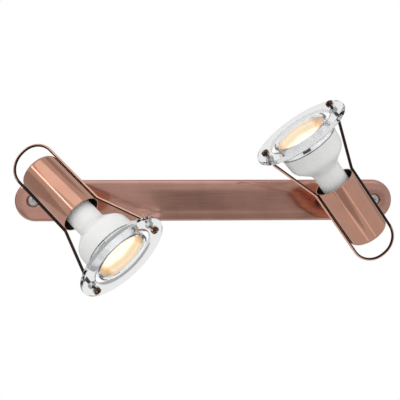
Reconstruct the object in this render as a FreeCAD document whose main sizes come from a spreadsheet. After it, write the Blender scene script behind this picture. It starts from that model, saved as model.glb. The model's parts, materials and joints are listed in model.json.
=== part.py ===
"""Pivoting spotlight wall light: a long wall plate with two heads that swivel and tilt.

Millimetres. +Z is up, the wall is the plane Y = 0 and the light stands out from it towards -Y. The origin
is the centre of the wall bracket's back face. The heads are drawn as they are set in the photographed pose.
"""
import FreeCAD
import Part
import math
import os
import Sketcher

from FreeCAD import Placement, Rotation, Vector

SIZES = {
    # Wall plate: pressed pan with half-round ends
    "plate_length": 350.0,
    "plate_width": 38.0,
    "plate_depth": 20.0,
    "plate_wall": 1.0,
    "plate_bend": 2.5,
    "dimple_radius": 5.8,
    "dimple_depth": 2.4,
    # Cover screws, through the dimples into the bracket's raised ends
    "cover_screw_inset": 17.25,
    "cover_shank": 2.5,
    "cover_head": 4.75,
    "cover_head_rise": 3.0,
    "cover_head_round": 1.4,
    "cover_screw_end": 2.0,
    # Wall bracket: flat crossbar with joggled ends
    "bracket_wall": 1.5,
    "bracket_side_gap": 7.0,
    "bracket_land_gap": 1.2,
    "bracket_joggle": 7.0,
    "bracket_land": 8.0,
    "bracket_bend": 1.2,
    "wall_slot_pitch": 150.0,
    "wall_slot_length": 14.0,
    "wall_slot_width": 5.0,
    "cable_hole": 6.0,
    "cable_hole_place": 30.0,
    # Three-way terminal block and earth terminal
    "block_length": 22.0,
    "block_margin": 4.0,
    "block_rise": 10.5,
    "way_pitch": 9.0,
    "way_height": 5.5,
    "tube_radius": 2.4,
    "tube_bore": 1.6,
    "tube_length": 20.0,
    "clamp_pitch": 11.0,
    "clamp_radius": 1.5,
    "clamp_bite": 1.0,
    "chimney_wall": 1.3,
    "chimney_rise": 2.0,
    "small_shank": 1.5,
    "small_head": 2.8,
    "small_head_rise": 2.0,
    "earth_place": 48.0,
    "earth_side": 7.0,
    "earth_shank": 2.0,
    "earth_head": 3.8,
    "earth_head_rise": 2.6,
    # Leads from the block to the stems
    "lead_radius": 1.8,
    "lead_insert": 3.0,
    # Swivel: hollow stem through the plate
    "pivot_inset": 59.0,
    "stem_radius": 5.0,
    "stem_bore": 3.0,
    "stem_tail": 1.0,
    "spigot_radius": 4.4,
    "spigot_rise": 5.0,
    "collar_radius": 9.0,
    "collar_rise": 3.5,
    "collar_chamfer": 1.0,
    "friction_washer_wall": 0.8,
    "stop_washer_wall": 1.2,
    "stop_tab_half": 2.5,
    "stop_pip_radius": 1.5,
    "stop_pip_gap": 0.5,
    "stem_nut_flats": 14.0,
    "stem_nut_rise": 2.5,
    # Tilt: fork, tongue and pivot screw
    "pivot_rise": 28.8,
    "fork_radius": 7.5,
    "fork_shank": 6.6,
    "fork_slot_depth": 8.6,
    "cheek_wall": 2.9,
    "cheek_radius": 6.0,
    "slot_half": 3.6,
    "tilt_shank": 2.0,
    "tilt_head": 3.8,
    "tilt_head_rise": 2.4,
    "tilt_head_round": 1.0,
    "tilt_nut_flats": 7.0,
    "tilt_nut_rise": 3.2,
    "tilt_washer_radius": 5.0,
    "tilt_washer_wall": 0.6,
    # Arm from the tilt pivot to the cup's side
    "arm_length": 18.1,
    "eye_radius": 6.0,
    "neck_radius": 4.0,
    "neck_gap": 1.2,
    "arm_bore": 2.3,
    "arm_bore_end": 2.0,
    "arm_window": 2.0,
    "saddle_radius": 7.5,
    "saddle_rise": 3.0,
    "arm_nut_flats": 11.0,
    "arm_nut_rise": 2.4,
    # Lamp cup, measured along its axis from the arm
    "cup_radius": 17.5,
    "cup_wall": 0.8,
    "cup_behind_arm": 26.5,
    "cup_before_arm": 31.0,
    "cup_corner": 3.0,
    # Ceramic lampholder on its bracket
    "holder_side_gap": 0.62,
    "holder_height": 17.0,
    "holder_lift": 5.2,
    "holder_hole": 2.8,
    "holder_hole_depth": 9.0,
    "holder_plate": 1.0,
    "holder_plate_width": 12.0,
    "holder_plate_margin": 2.5,
    "holder_rim": 0.8,
    "holder_screw_sink": 2.5,
    # Lamp
    "lamp_side_gap": 0.72,
    "lamp_neck_length": 49.8,
    "lamp_flare_length": 10.7,
    "lamp_shoulder_length": 15.4,
    "lamp_collar_length": 11.6,
    "lamp_radius": 25.2,
    "lamp_shoulder_taper": 1.2,
    "lamp_front_taper": 0.8,
    "lamp_neck_bend": 5.0,
    "lamp_shoulder_bend": 8.0,
    "lamp_recess": 11.9,
    "pin_pitch": 10.0,
    "pin_radius": 1.55,
    "pin_head": 2.5,
    "pin_head_rise": 2.5,
    "pin_length": 7.0,
    "collar_wall": 1.4,
    "lens_wall": 1.8,
    "lens_set_back": 0.8,
    "reflector_wall": 0.6,
    "reflector_throat": 9.0,
    "reflector_gap": 1.4,
    "burner_radius": 4.0,
    "burner_length": 15.0,
    "burner_round": 3.2,
    # Wire loop and glass ring
    "wire_radius": 1.25,
    "wire_loop_reach": 24.2,
    "wire_loop_flat": 0.8,
    "wire_rim_bend": 8.0,
    "wire_ring_bend": 6.0,
    "wire_straight": 3.0,
    "thread_end": 0.5,
    "ring_gap": 2.7,
    "ring_width": 13.3,
    "ring_wall": 4.0,
    "ring_stand": 1.2,
    "ring_edge": 1.4,
    "ring_bolt_inset": 5.1,
    "ring_hole": 1.6,
    "ring_washer_radius": 3.1,
    "ring_washer_wall": 0.6,
    "ring_nut_flats": 5.5,
    "ring_nut_rise": 3.6,
    # Clearances
    "run_gap": 0.1,
    "fit_gap": 0.05,
    # Photographed pose: swivel from the +X direction towards +Z, tilt out from the wall
    "left_swivel_angle": -43.7,
    "left_tilt_angle": 24.2,
    "left_middle_angle": -45.0,
    "right_swivel_angle": 127.4,
    "right_tilt_angle": 14.3,
    "right_middle_angle": 135.0,
}


class Size:
    """A length worked out from the sheet: its number now, and the expression that binds a feature to it."""

    def __init__(self, number, text):
        self.number = number
        self.text = text

    def join(self, other, sign, work):
        other = size(other)
        return Size(work(self.number, other.number), f"({self.text} {sign} {other.text})")

    def __add__(self, other):
        return self.join(other, "+", lambda a, b: a + b)

    def __radd__(self, other):
        return size(other) + self

    def __sub__(self, other):
        return self.join(other, "-", lambda a, b: a - b)

    def __rsub__(self, other):
        return size(other) - self

    def __mul__(self, other):
        return self.join(other, "*", lambda a, b: a * b)

    def __rmul__(self, other):
        return size(other) * self

    def __truediv__(self, other):
        return self.join(other, "/", lambda a, b: a / b)

    def __neg__(self):
        return size(0) - self


def size(item):
    """A plain number as a Size, or the Size itself."""
    return item if isinstance(item, Size) else Size(float(item), f"{item:.6f}")


def root(item):
    return Size(math.sqrt(item.number), f"sqrt({item.text})")


class Sheet:
    """The driving sizes, read by name."""

    def __init__(self, sizes):
        self.sheet = doc.addObject("Spreadsheet::Sheet", "Sizes")
        for row, (alias, length) in enumerate(sizes.items(), start=1):
            self.sheet.set(f"A{row}", alias)
            self.sheet.set(f"B{row}", str(length))
            self.sheet.setAlias(f"B{row}", alias)
        doc.recompute()

    def __getattr__(self, alias):
        return Size(float(getattr(self.sheet, alias)), f"Sizes.{alias}")


doc = FreeCAD.newDocument("SpotlightBar")
S = Sheet(SIZES)
NODES = []


# ---------------------------------------------------------------- drawing helpers

def bind(item, name, length):
    """Bind one property of an object to the sheet."""
    item.setExpression(name, size(length).text)


def new_body(label, placement):
    """An empty body for one sub-part, in the frame that it is drawn in."""
    body = doc.addObject("PartDesign::Body", label)
    body.Label = label
    body.AllowCompound = True
    body.Placement = placement
    NODES.append(body)
    return body


def origin_feature(body, role):
    return next(item for item in body.Origin.OriginFeatures if item.Role == role)


def new_sketch(body, plane, height=0.0):
    """A sketch on one of the body's own origin planes, moved along that plane's normal."""
    sketch = body.newObject("Sketcher::SketchObject", body.Name + "_sketch")
    sketch.AttachmentSupport = [(origin_feature(body, plane + "_Plane"), "")]
    sketch.MapMode = "FlatFace"
    bind(sketch, "AttachmentOffset.Base.z", height)
    return sketch


def constrain(sketch, length, *terms):
    """Add a constraint whose value is a Size, and bind it."""
    length = size(length)
    index = sketch.addConstraint(Sketcher.Constraint(*terms, length.number))
    sketch.setExpression(f"Constraints[{index}]", length.text)


def hold(sketch, geometry, point, across, up):
    """Fix one point of a sketch by its distances from the sketch's origin."""
    constrain(sketch, across, "DistanceX", -1, 1, geometry, point)
    constrain(sketch, up, "DistanceY", -1, 1, geometry, point)


def outline(sketch, corners, closed=True):
    """Draw straight lines through corners; a corner with a third size is rounded by an arc of that radius."""
    count = len(corners)
    spots = [Vector(size(c[0]).number, size(c[1]).number, 0) for c in corners]
    radii = [size(c[2]) if len(c) > 2 else None for c in corners]
    leave, arrive = list(spots), list(spots)
    arcs = {}
    for k in range(count):
        if radii[k] is None:
            continue
        before = (spots[k - 1] - spots[k]).normalize()
        after = (spots[(k + 1) % count] - spots[k]).normalize()
        half = before.getAngle(after) / 2
        reach = radii[k].number / math.tan(half)
        arrive[k] = spots[k] + before * reach
        leave[k] = spots[k] + after * reach
        bisector = (before + after).normalize()
        centre = spots[k] + bisector * (radii[k].number / math.sin(half))
        middle = centre - bisector * radii[k].number
        arcs[k] = Part.ArcOfCircle(arrive[k], middle, leave[k])
    spans = count if closed else count - 1
    lines = [sketch.addGeometry(Part.LineSegment(leave[k], arrive[(k + 1) % count])) for k in range(spans)]
    for k in range(count):
        into = lines[k - 1] if closed or k else None
        out = lines[k] if k < spans else None
        if radii[k] is None:
            if into is not None and out is not None:
                sketch.addConstraint(Sketcher.Constraint("Coincident", into, 2, out, 1))
            hold(sketch, *((out, 1) if out is not None else (into, 2)), *corners[k][:2])
            continue
        corner = sketch.addGeometry(Part.Point(spots[k]), True)
        hold(sketch, corner, 1, *corners[k][:2])
        sketch.addConstraint(Sketcher.Constraint("PointOnObject", corner, 1, into))
        sketch.addConstraint(Sketcher.Constraint("PointOnObject", corner, 1, out))
        arc = sketch.addGeometry(arcs[k])
        gaps = [sketch.getPoint(arc, end).distanceToPoint(arrive[k]) for end in (1, 2)]
        first, last = (1, 2) if gaps[0] < gaps[1] else (2, 1)
        sketch.addConstraint(Sketcher.Constraint("Tangent", into, 2, arc, first))
        sketch.addConstraint(Sketcher.Constraint("Tangent", out, 1, arc, last))
        constrain(sketch, radii[k], "Radius", arc)
    return sketch


def circle(sketch, across, up, radius):
    centre = Vector(size(across).number, size(up).number, 0)
    ring = sketch.addGeometry(Part.Circle(centre, Vector(0, 0, 1), size(radius).number))
    hold(sketch, ring, 3, across, up)
    constrain(sketch, radius, "Radius", ring)
    return sketch


def hexagon(sketch, across, up, flats):
    """A hexagon with two of its flats square to the sketch's first axis."""
    across, up, corner = size(across), size(up), flats / math.sqrt(3)
    turns = [math.radians(30 + 60 * k) for k in range(6)]
    return outline(sketch, [(across + corner * math.cos(t), up + corner * math.sin(t)) for t in turns])


def slot(sketch, half_length, radius, across=0.0):
    """A stadium outline along the sketch's first axis."""
    ends = [size(across) - half_length + radius, size(across) + half_length - radius]
    reach = size(radius).number
    left, right = (Vector(end.number, 0, 0) for end in ends)
    up = Vector(0, reach, 0)
    low = sketch.addGeometry(Part.LineSegment(left - up, right - up))
    top = sketch.addGeometry(Part.LineSegment(right + up, left + up))
    normal = Vector(0, 0, 1)
    east = sketch.addGeometry(Part.ArcOfCircle(Part.Circle(right, normal, reach), -math.pi / 2, math.pi / 2))
    west = sketch.addGeometry(Part.ArcOfCircle(Part.Circle(left, normal, reach), math.pi / 2, 1.5 * math.pi))
    for line, end, arc, start in ((low, 2, east, 1), (east, 2, top, 1), (top, 2, west, 1), (west, 2, low, 1)):
        sketch.addConstraint(Sketcher.Constraint("Tangent", line, end, arc, start))
    hold(sketch, west, 3, ends[0], 0)
    hold(sketch, east, 3, ends[1], 0)
    constrain(sketch, radius, "Radius", west)
    return sketch


def pad(body, sketch, length, symmetric=False):
    feature = body.newObject("PartDesign::Pad", body.Name + "_pad")
    feature.Profile = sketch
    feature.SideType = "Symmetric" if symmetric else "One side"
    bind(feature, "Length", length)
    return feature


def pocket(body, sketch, length):
    """Cut a sketch into the body along the sketch's normal."""
    feature = body.newObject("PartDesign::Pocket", body.Name + "_pocket")
    feature.Profile = sketch
    feature.SideType = "One side"
    feature.Reversed = True
    bind(feature, "Length", length)
    return feature


def turn(body, corners):
    """Turn a profile of (radius, height) corners about the body's Z axis."""
    sketch = outline(new_sketch(body, "XZ"), corners)
    feature = body.newObject("PartDesign::Revolution", body.Name + "_turned")
    feature.Profile = sketch
    feature.ReferenceAxis = (sketch, ["V_Axis"])
    feature.Angle = 360
    return feature


DIRECTIONS = {"X": Rotation(Vector(0, 1, 0), 90), "Y": Rotation(Vector(1, 0, 0), -90), "Z": Rotation()}


def cylinder(body, axis, start, end, radius, place=(0, 0, 0), cut=False):
    """A cylinder along one of the body's axes, from start to end along that axis."""
    kind = "PartDesign::SubtractiveCylinder" if cut else "PartDesign::AdditiveCylinder"
    feature = body.newObject(kind, body.Name + "_cylinder")
    feature.Placement = Placement(Vector(), DIRECTIONS[axis])
    spot = [place[k] + start if "XYZ"[k] == axis else place[k] for k in range(3)]
    for name, length in zip("xyz", spot):
        bind(feature, "Placement.Base." + name, length)
    bind(feature, "Radius", radius)
    bind(feature, "Height", end - start)
    return feature


def block(body, low, high):
    """A box between two corners."""
    feature = body.newObject("PartDesign::AdditiveBox", body.Name + "_box")
    for name, side, start, end in zip("xyz", ("Length", "Width", "Height"), low, high):
        bind(feature, "Placement.Base." + name, start)
        bind(feature, side, end - start)
    return feature


def mirrored(body, plane, original):
    """Repeat a feature on the other side of one of the body's planes."""
    feature = body.newObject("PartDesign::Mirrored", body.Name + "_mirrored")
    feature.Originals = [original]
    feature.MirrorPlane = (origin_feature(body, plane + "_Plane"), [""])
    body.Tip = feature
    return feature


def pipe(body, profile, spine):
    """Sweep a closed profile along an open line."""
    feature = body.newObject("PartDesign::AdditivePipe", body.Name + "_pipe")
    feature.Profile = profile
    doc.recompute()
    feature.Spine = (spine, [f"Edge{k + 1}" for k in range(len(spine.Shape.Edges))])
    return feature


def fillet(body, base, radius, chosen):
    """Round the edges of a feature that the test chooses."""
    doc.recompute()
    names = [f"Edge{k + 1}" for k, edge in enumerate(base.Shape.Edges) if chosen(edge)]
    feature = body.newObject("PartDesign::Fillet", body.Name + "_fillet")
    feature.Base = (base, names)
    bind(feature, "Radius", radius)
    return feature


def lies_at(edge, axis, height):
    """Whether a whole edge lies at one height along an axis."""
    low, high = getattr(edge.BoundBox, axis + "Min"), getattr(edge.BoundBox, axis + "Max")
    return abs(low - height.number) < 1e-6 and abs(high - height.number) < 1e-6


# ---------------------------------------------------------------- frames

UPRIGHT = Rotation(Vector(1, 0, 0), 90)
PLATE = Placement(Vector(), UPRIGHT)


PAN_INSIDE = S.plate_depth - S.plate_wall
PIVOT = S.plate_depth + S.pivot_rise
ARM_PIVOT = S.cup_radius + S.arm_length


class Side:
    """One head's place on the plate and its photographed pose."""

    def __init__(self, name, direction):
        self.name = name
        self.direction = direction
        self.place = (S.plate_length / 2 - S.pivot_inset) * direction
        self.swivel = getattr(S, name + "_swivel_angle").number
        self.tilt = getattr(S, name + "_tilt_angle").number
        self.middle = getattr(S, name + "_middle_angle").number
        # Swivel frame: +Z out from the wall, +X the way that the lamp points, Y along the tilt pivot
        turned = Rotation(Vector(0, -1, 0), self.swivel) * UPRIGHT
        self.swivel_frame = Placement(Vector(self.place.number, 0, 0), turned)
        # Head frame: +Z along the lamp's axis, +X towards the tilt pivot, origin on the axis beside the pivot
        tilted = Placement(Vector(0, 0, PIVOT.number), Rotation(Vector(0, 1, 0), 90 - self.tilt))
        self.head_frame = self.swivel_frame * tilted * Placement(Vector(-ARM_PIVOT.number, 0, 0), Rotation())

    def label(self, part):
        return f"{self.name}_{part}"


SIDES = [Side("left", -1), Side("right", 1)]

COVER_SCREW = S.plate_length / 2 - S.cover_screw_inset
DIMPLE_FLOOR = S.plate_depth - S.dimple_depth
DIMPLE_BACK = DIMPLE_FLOOR - S.plate_wall
BRACKET_RAISE = DIMPLE_BACK - S.bracket_land_gap
WAY_LEVEL = S.bracket_wall + S.way_height
BLOCK_TOP = S.bracket_wall + S.block_rise
STOP_WASHER_TOP = PAN_INSIDE - S.run_gap
STOP_WASHER_LOW = STOP_WASHER_TOP - S.stop_washer_wall
STOP_PIP_PLACE = S.collar_radius + S.stop_pip_gap + S.stop_pip_radius
STEM_NUT_LOW = STOP_WASHER_LOW - S.stem_nut_rise
STEM_END = STEM_NUT_LOW - S.stem_tail
COLLAR_LOW = S.plate_depth + S.friction_washer_wall + S.run_gap
COLLAR_TOP = COLLAR_LOW + S.collar_rise
CHEEK_HALF = S.slot_half + S.cheek_wall
EYE_HALF = S.slot_half - S.tilt_washer_wall - S.run_gap
CUP_INSIDE = S.cup_radius - S.cup_wall
CUP_BACK = -S.cup_behind_arm
CUP_FLOOR = CUP_BACK + S.cup_wall
ARM_NUT_SEAT = root(CUP_INSIDE * CUP_INSIDE - S.arm_nut_flats * S.arm_nut_flats / 4) - S.fit_gap
ARM_END = ARM_NUT_SEAT - S.arm_nut_rise - S.thread_end
HOLDER_RADIUS = ARM_END - S.holder_side_gap
HOLDER_SCREW = HOLDER_RADIUS - S.holder_rim - S.run_gap - S.small_head
HOLDER_LOW = CUP_FLOOR + S.holder_lift
LAMP_NECK = ARM_END - S.lamp_side_gap
LAMP_BASE = HOLDER_LOW + S.holder_height
HOLDER_SCREW_SEAT = LAMP_BASE - S.holder_screw_sink - S.small_head_rise
LAMP_FLARE = LAMP_BASE + S.lamp_neck_length
LAMP_SHOULDER = LAMP_FLARE + S.lamp_flare_length
LAMP_SEAM = LAMP_SHOULDER + S.lamp_shoulder_length
LAMP_FRONT = LAMP_SEAM + S.lamp_collar_length
LAMP_FRONT_RADIUS = S.lamp_radius - S.lamp_front_taper
LAMP_FLOOR = LAMP_SEAM - S.lamp_recess
LENS_FRONT = LAMP_FRONT - S.lens_set_back
LENS_BACK = LENS_FRONT - S.lens_wall
RING_FRONT = LAMP_FRONT + S.ring_stand
RING_BACK = RING_FRONT - S.ring_wall
RING_INNER = S.lamp_radius + S.ring_gap
RING_OUTER = RING_INNER + S.ring_width
RING_BOLT = RING_INNER + S.ring_bolt_inset
REAR_NUT_LOW = RING_BACK - S.ring_nut_rise
FRONT_NUT_LOW = RING_FRONT + S.ring_washer_wall
WIRE_END = FRONT_NUT_LOW + S.ring_nut_rise + S.thread_end
WIRE_SIDE = S.cup_radius + S.wire_radius + S.fit_gap


# ---------------------------------------------------------------- wall plate

def cover_pan():
    """Pressed pan: rounded front edge, dimples for the cover screws, stem holes and the stop pips."""
    body = new_body("cover_pan", PLATE)
    outside = slot(new_sketch(body, "XY"), S.plate_length / 2, S.plate_width / 2)
    form = pad(body, outside, S.plate_depth)
    fillet(body, form, S.plate_bend, lambda edge: lies_at(edge, "Z", S.plate_depth))
    half_length, half_width = S.plate_length / 2 - S.plate_wall, S.plate_width / 2 - S.plate_wall
    inside = pocket(body, slot(new_sketch(body, "XY"), half_length, half_width), PAN_INSIDE)
    fillet(body, inside, S.plate_bend - S.plate_wall, lambda edge: lies_at(edge, "Z", PAN_INSIDE))
    for sign in (-1, 1):
        spot = (COVER_SCREW * sign, 0, 0)
        cylinder(body, "Z", DIMPLE_BACK, PAN_INSIDE, S.dimple_radius + S.plate_wall, spot)
        cylinder(body, "Z", DIMPLE_FLOOR, S.plate_depth, S.dimple_radius, spot, cut=True)
        cylinder(body, "Z", DIMPLE_BACK, DIMPLE_FLOOR, S.cover_shank + S.run_gap, spot, cut=True)
    for side in SIDES:
        away = math.radians(side.middle + 180)
        pip = (side.place + STOP_PIP_PLACE * math.cos(away), STOP_PIP_PLACE * math.sin(away), 0)
        cylinder(body, "Z", STOP_WASHER_LOW, PAN_INSIDE, S.stop_pip_radius, pip)
        stem = (side.place, 0, 0)
        cylinder(body, "Z", PAN_INSIDE, S.plate_depth, S.stem_radius + S.run_gap, stem, cut=True)


def wall_bracket():
    """Crossbar flat on the wall, with joggled ends tapped for the cover screws."""
    body = new_body("wall_bracket", PLATE)
    wall = S.bracket_wall
    tip, land = COVER_SCREW + S.bracket_land, COVER_SCREW - S.bracket_land
    foot = land - S.bracket_joggle
    inner, outer = S.bracket_bend, S.bracket_bend + wall
    under = [(foot, 0, outer), (land, BRACKET_RAISE - wall, inner), (tip, BRACKET_RAISE - wall)]
    over = [(tip, BRACKET_RAISE), (land - wall / 2, BRACKET_RAISE, outer), (foot - wall / 2, wall, inner)]
    right = under + over
    left = [(-corner[0],) + corner[1:] for corner in reversed(right)]
    width = S.plate_width - 2 * S.bracket_side_gap
    pad(body, outline(new_sketch(body, "XZ"), right + left), width, symmetric=True)
    for sign in (-1, 1):
        tapped = (COVER_SCREW * sign, 0, 0)
        cylinder(body, "Z", BRACKET_RAISE - wall, BRACKET_RAISE, S.cover_shank + S.fit_gap, tapped, cut=True)
        place = S.wall_slot_pitch / 2 * sign
        pocket(body, slot(new_sketch(body, "XY"), S.wall_slot_length / 2, S.wall_slot_width / 2, place), wall)
    for radius, across, up in ((S.cable_hole, -S.cable_hole_place, 0),
                               (S.earth_shank + S.fit_gap, S.earth_place, S.earth_side),
                               (S.small_shank + S.fit_gap, 0, S.way_pitch / 2)):
        cylinder(body, "Z", 0, wall, radius, (across, up, 0), cut=True)


def cover_screws():
    """Two pan-head screws seated in the dimples."""
    body = new_body("cover_screws", PLATE)
    tip = BRACKET_RAISE - S.bracket_wall - S.cover_screw_end
    head_top = DIMPLE_FLOOR + S.cover_head_rise
    for sign in (-1, 1):
        spot = (COVER_SCREW * sign, 0, 0)
        cylinder(body, "Z", tip, DIMPLE_FLOOR, S.cover_shank, spot)
        head = cylinder(body, "Z", DIMPLE_FLOOR, head_top, S.cover_head, spot)
    fillet(body, head, S.cover_head_round, lambda edge: lies_at(edge, "Z", head_top))


def terminal_block():
    """Nylon strip of three ways, with a chimney over each clamp screw."""
    body = new_body("terminal_block", PLATE)
    half = S.block_length / 2
    side = S.way_pitch + S.block_margin
    chimney_top = BLOCK_TOP + S.chimney_rise
    block(body, (-half, -side, S.bracket_wall), (half, side, BLOCK_TOP))
    for way in (-1, 0, 1):
        for end in (-1, 1):
            spot = (S.clamp_pitch / 2 * end, S.way_pitch * way, 0)
            cylinder(body, "Z", BLOCK_TOP, chimney_top, S.clamp_radius + S.chimney_wall, spot)
            cylinder(body, "Z", WAY_LEVEL, chimney_top, S.clamp_radius + S.fit_gap, spot, cut=True)
        level = (0, S.way_pitch * way, WAY_LEVEL)
        cylinder(body, "X", -half, half, S.tube_radius + S.fit_gap, level, cut=True)
    between = (0, S.way_pitch / 2, 0)
    cylinder(body, "Z", S.bracket_wall, BLOCK_TOP, S.small_shank + S.fit_gap, between, cut=True)


def terminal_tubes():
    """Three brass tubes with tapped holes for the clamp screws."""
    body = new_body("terminal_tubes", PLATE)
    half, top = S.tube_length / 2, WAY_LEVEL + S.tube_radius
    for way in (-1, 0, 1):
        level = (0, S.way_pitch * way, WAY_LEVEL)
        cylinder(body, "X", -half, half, S.tube_radius, level)
        cylinder(body, "X", -half, half, S.tube_bore, level, cut=True)
        for end in (-1, 1):
            spot = (S.clamp_pitch / 2 * end, S.way_pitch * way, 0)
            cylinder(body, "Z", WAY_LEVEL, top, S.clamp_radius + S.fit_gap, spot, cut=True)


def terminal_screws():
    """Six clamp screws, reaching into the tubes."""
    body = new_body("terminal_screws", PLATE)
    low, high = WAY_LEVEL + S.clamp_bite, BLOCK_TOP + S.chimney_rise / 2
    for way in (-1, 0, 1):
        for end in (-1, 1):
            spot = (S.clamp_pitch / 2 * end, S.way_pitch * way, 0)
            cylinder(body, "Z", low, high, S.clamp_radius, spot)


def block_screw():
    """Holds the strip to the bracket, between two ways."""
    body = new_body("block_screw", PLATE)
    spot = (0, S.way_pitch / 2, 0)
    cylinder(body, "Z", S.run_gap, BLOCK_TOP, S.small_shank, spot)
    cylinder(body, "Z", BLOCK_TOP, BLOCK_TOP + S.small_head_rise, S.small_head, spot)


def earth_screw():
    """Earth terminal screw in the bracket."""
    body = new_body("earth_screw", PLATE)
    spot = (S.earth_place, S.earth_side, 0)
    cylinder(body, "Z", S.run_gap, S.bracket_wall, S.earth_shank, spot)
    cylinder(body, "Z", S.bracket_wall, S.bracket_wall + S.earth_head_rise, S.earth_head, spot)


def lead(side):
    """Sleeved lead from the strip's middle way, bending up into the stem's bore."""
    body = new_body(side.label("lead"), PLATE)
    start = S.tube_length / 2 * side.direction
    corners = [(start, WAY_LEVEL), (side.place, WAY_LEVEL, STEM_END - WAY_LEVEL),
               (side.place, STEM_END + S.lead_insert)]
    profile = circle(new_sketch(body, "YZ", start), 0, WAY_LEVEL, S.lead_radius)
    pipe(body, profile, outline(new_sketch(body, "XZ"), corners, closed=False))


# ---------------------------------------------------------------- swivel

def friction_washer(side):
    """Nylon washer between the plate and the turning collar."""
    body = new_body(side.label("friction_washer"), side.swivel_frame)
    bore, low = S.stem_radius + S.run_gap, S.plate_depth
    top = low + S.friction_washer_wall
    turn(body, [(bore, low), (S.collar_radius, low), (S.collar_radius, top), (bore, top)])


def swivel_stem(side):
    """Hollow stem: thread through the plate, collar outside it, spigot for the fork."""
    body = new_body(side.label("swivel_stem"), side.swivel_frame)
    spigot_top = COLLAR_TOP + S.spigot_rise
    turn(body, [(S.stem_bore, STEM_END), (S.stem_radius, STEM_END), (S.stem_radius, COLLAR_LOW),
                (S.collar_radius, COLLAR_LOW), (S.collar_radius, COLLAR_TOP - S.collar_chamfer),
                (S.collar_radius - S.collar_chamfer, COLLAR_TOP), (S.spigot_radius, COLLAR_TOP),
                (S.spigot_radius, spigot_top), (S.stem_bore, spigot_top)])


def stop_washer(side):
    """Washer that turns with the stem; its tab meets the plate's pip at both ends of the swivel."""
    body = new_body(side.label("stop_washer"), side.swivel_frame)
    bore, rim = S.stem_radius + S.fit_gap, S.collar_radius
    turn(body, [(bore, STOP_WASHER_LOW), (rim, STOP_WASHER_LOW), (rim, STOP_WASHER_TOP),
                (bore, STOP_WASHER_TOP)])
    tab_root = (S.stem_radius + S.collar_radius) / 2
    block(body, (tab_root, -S.stop_tab_half, STOP_WASHER_LOW),
          (STOP_PIP_PLACE + S.stop_pip_radius, S.stop_tab_half, STOP_WASHER_TOP))


def stem_nut(side):
    """Thin hexagon nut on the stem inside the plate."""
    body = new_body(side.label("stem_nut"), side.swivel_frame)
    sketch = hexagon(new_sketch(body, "XY", STEM_NUT_LOW), 0, 0, S.stem_nut_flats)
    pad(body, circle(sketch, 0, 0, S.stem_radius + S.fit_gap), S.stem_nut_rise)


def knuckle_fork(side):
    """Fork on the stem's spigot, hollow for the leads, with two rounded cheeks."""
    body = new_body(side.label("knuckle_fork"), side.swivel_frame)
    neck, floor = COLLAR_TOP + S.fork_shank, PIVOT - S.fork_slot_depth
    socket, socket_top = S.spigot_radius + S.fit_gap, COLLAR_TOP + S.spigot_rise + S.run_gap
    turn(body, [(socket, COLLAR_TOP), (S.fork_radius, COLLAR_TOP), (S.fork_radius, neck),
                (S.cheek_radius, floor), (S.stem_bore, floor), (S.stem_bore, socket_top),
                (socket, socket_top)])
    for low, high in ((S.slot_half, CHEEK_HALF), (-CHEEK_HALF, -S.slot_half)):
        block(body, (-S.cheek_radius, low, neck), (S.cheek_radius, high, PIVOT))
        cylinder(body, "Y", low, high, S.cheek_radius, (0, 0, PIVOT))
    cylinder(body, "Y", -CHEEK_HALF, CHEEK_HALF, S.tilt_shank + S.fit_gap, (0, 0, PIVOT), cut=True)


def tilt_screw(side):
    """Pivot screw through the fork and the arm's eye."""
    body = new_body(side.label("tilt_screw"), side.swivel_frame)
    tip, head_top = CHEEK_HALF + S.tilt_nut_rise + S.thread_end, CHEEK_HALF + S.tilt_head_rise
    cylinder(body, "Y", -tip, CHEEK_HALF, S.tilt_shank, (0, 0, PIVOT))
    head = cylinder(body, "Y", CHEEK_HALF, head_top, S.tilt_head, (0, 0, PIVOT))
    fillet(body, head, S.tilt_head_round, lambda edge: lies_at(edge, "Y", head_top))


def tilt_nut(side):
    """Nut on the pivot screw's end."""
    body = new_body(side.label("tilt_nut"), side.swivel_frame)
    sketch = hexagon(new_sketch(body, "XZ", CHEEK_HALF), 0, PIVOT, S.tilt_nut_flats)
    pad(body, circle(sketch, 0, PIVOT, S.tilt_shank + S.fit_gap), S.tilt_nut_rise)


def tilt_washers(side):
    """Two friction washers between the fork's cheeks and the eye."""
    body = new_body(side.label("tilt_washers"), side.swivel_frame)
    sketch = new_sketch(body, "XZ", S.slot_half - S.tilt_washer_wall)
    for radius in (S.tilt_washer_radius, S.tilt_shank + S.fit_gap):
        circle(sketch, 0, PIVOT, radius)
    mirrored(body, "XZ", pad(body, sketch, S.tilt_washer_wall))


# ---------------------------------------------------------------- head

def head_arm(side):
    """Eye, neck with a window for the leads, saddle that fits the cup's side, and a spigot through it."""
    body = new_body(side.label("head_arm"), side.head_frame)
    pivot = (ARM_PIVOT, 0, 0)
    neck_end = ARM_PIVOT - S.cheek_radius - S.neck_gap
    bore_end = neck_end - S.arm_bore_end
    saddle_top = S.cup_radius + S.saddle_rise
    cylinder(body, "X", S.cup_radius / 2, saddle_top, S.saddle_radius)
    cylinder(body, "Z", -S.cup_radius, S.cup_radius, S.cup_radius + S.fit_gap, cut=True)
    cylinder(body, "X", ARM_END, neck_end, S.neck_radius)
    block(body, (neck_end, -EYE_HALF, -S.neck_radius), (ARM_PIVOT, EYE_HALF, S.neck_radius))
    cylinder(body, "Y", -EYE_HALF, EYE_HALF, S.eye_radius, pivot)
    cylinder(body, "X", ARM_END, bore_end, S.arm_bore, cut=True)
    cylinder(body, "Z", -S.neck_radius, 0, S.arm_window, (bore_end - S.arm_bore, 0, 0), cut=True)
    cylinder(body, "Y", -EYE_HALF, EYE_HALF, S.tilt_shank + S.fit_gap, pivot, cut=True)


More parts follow.
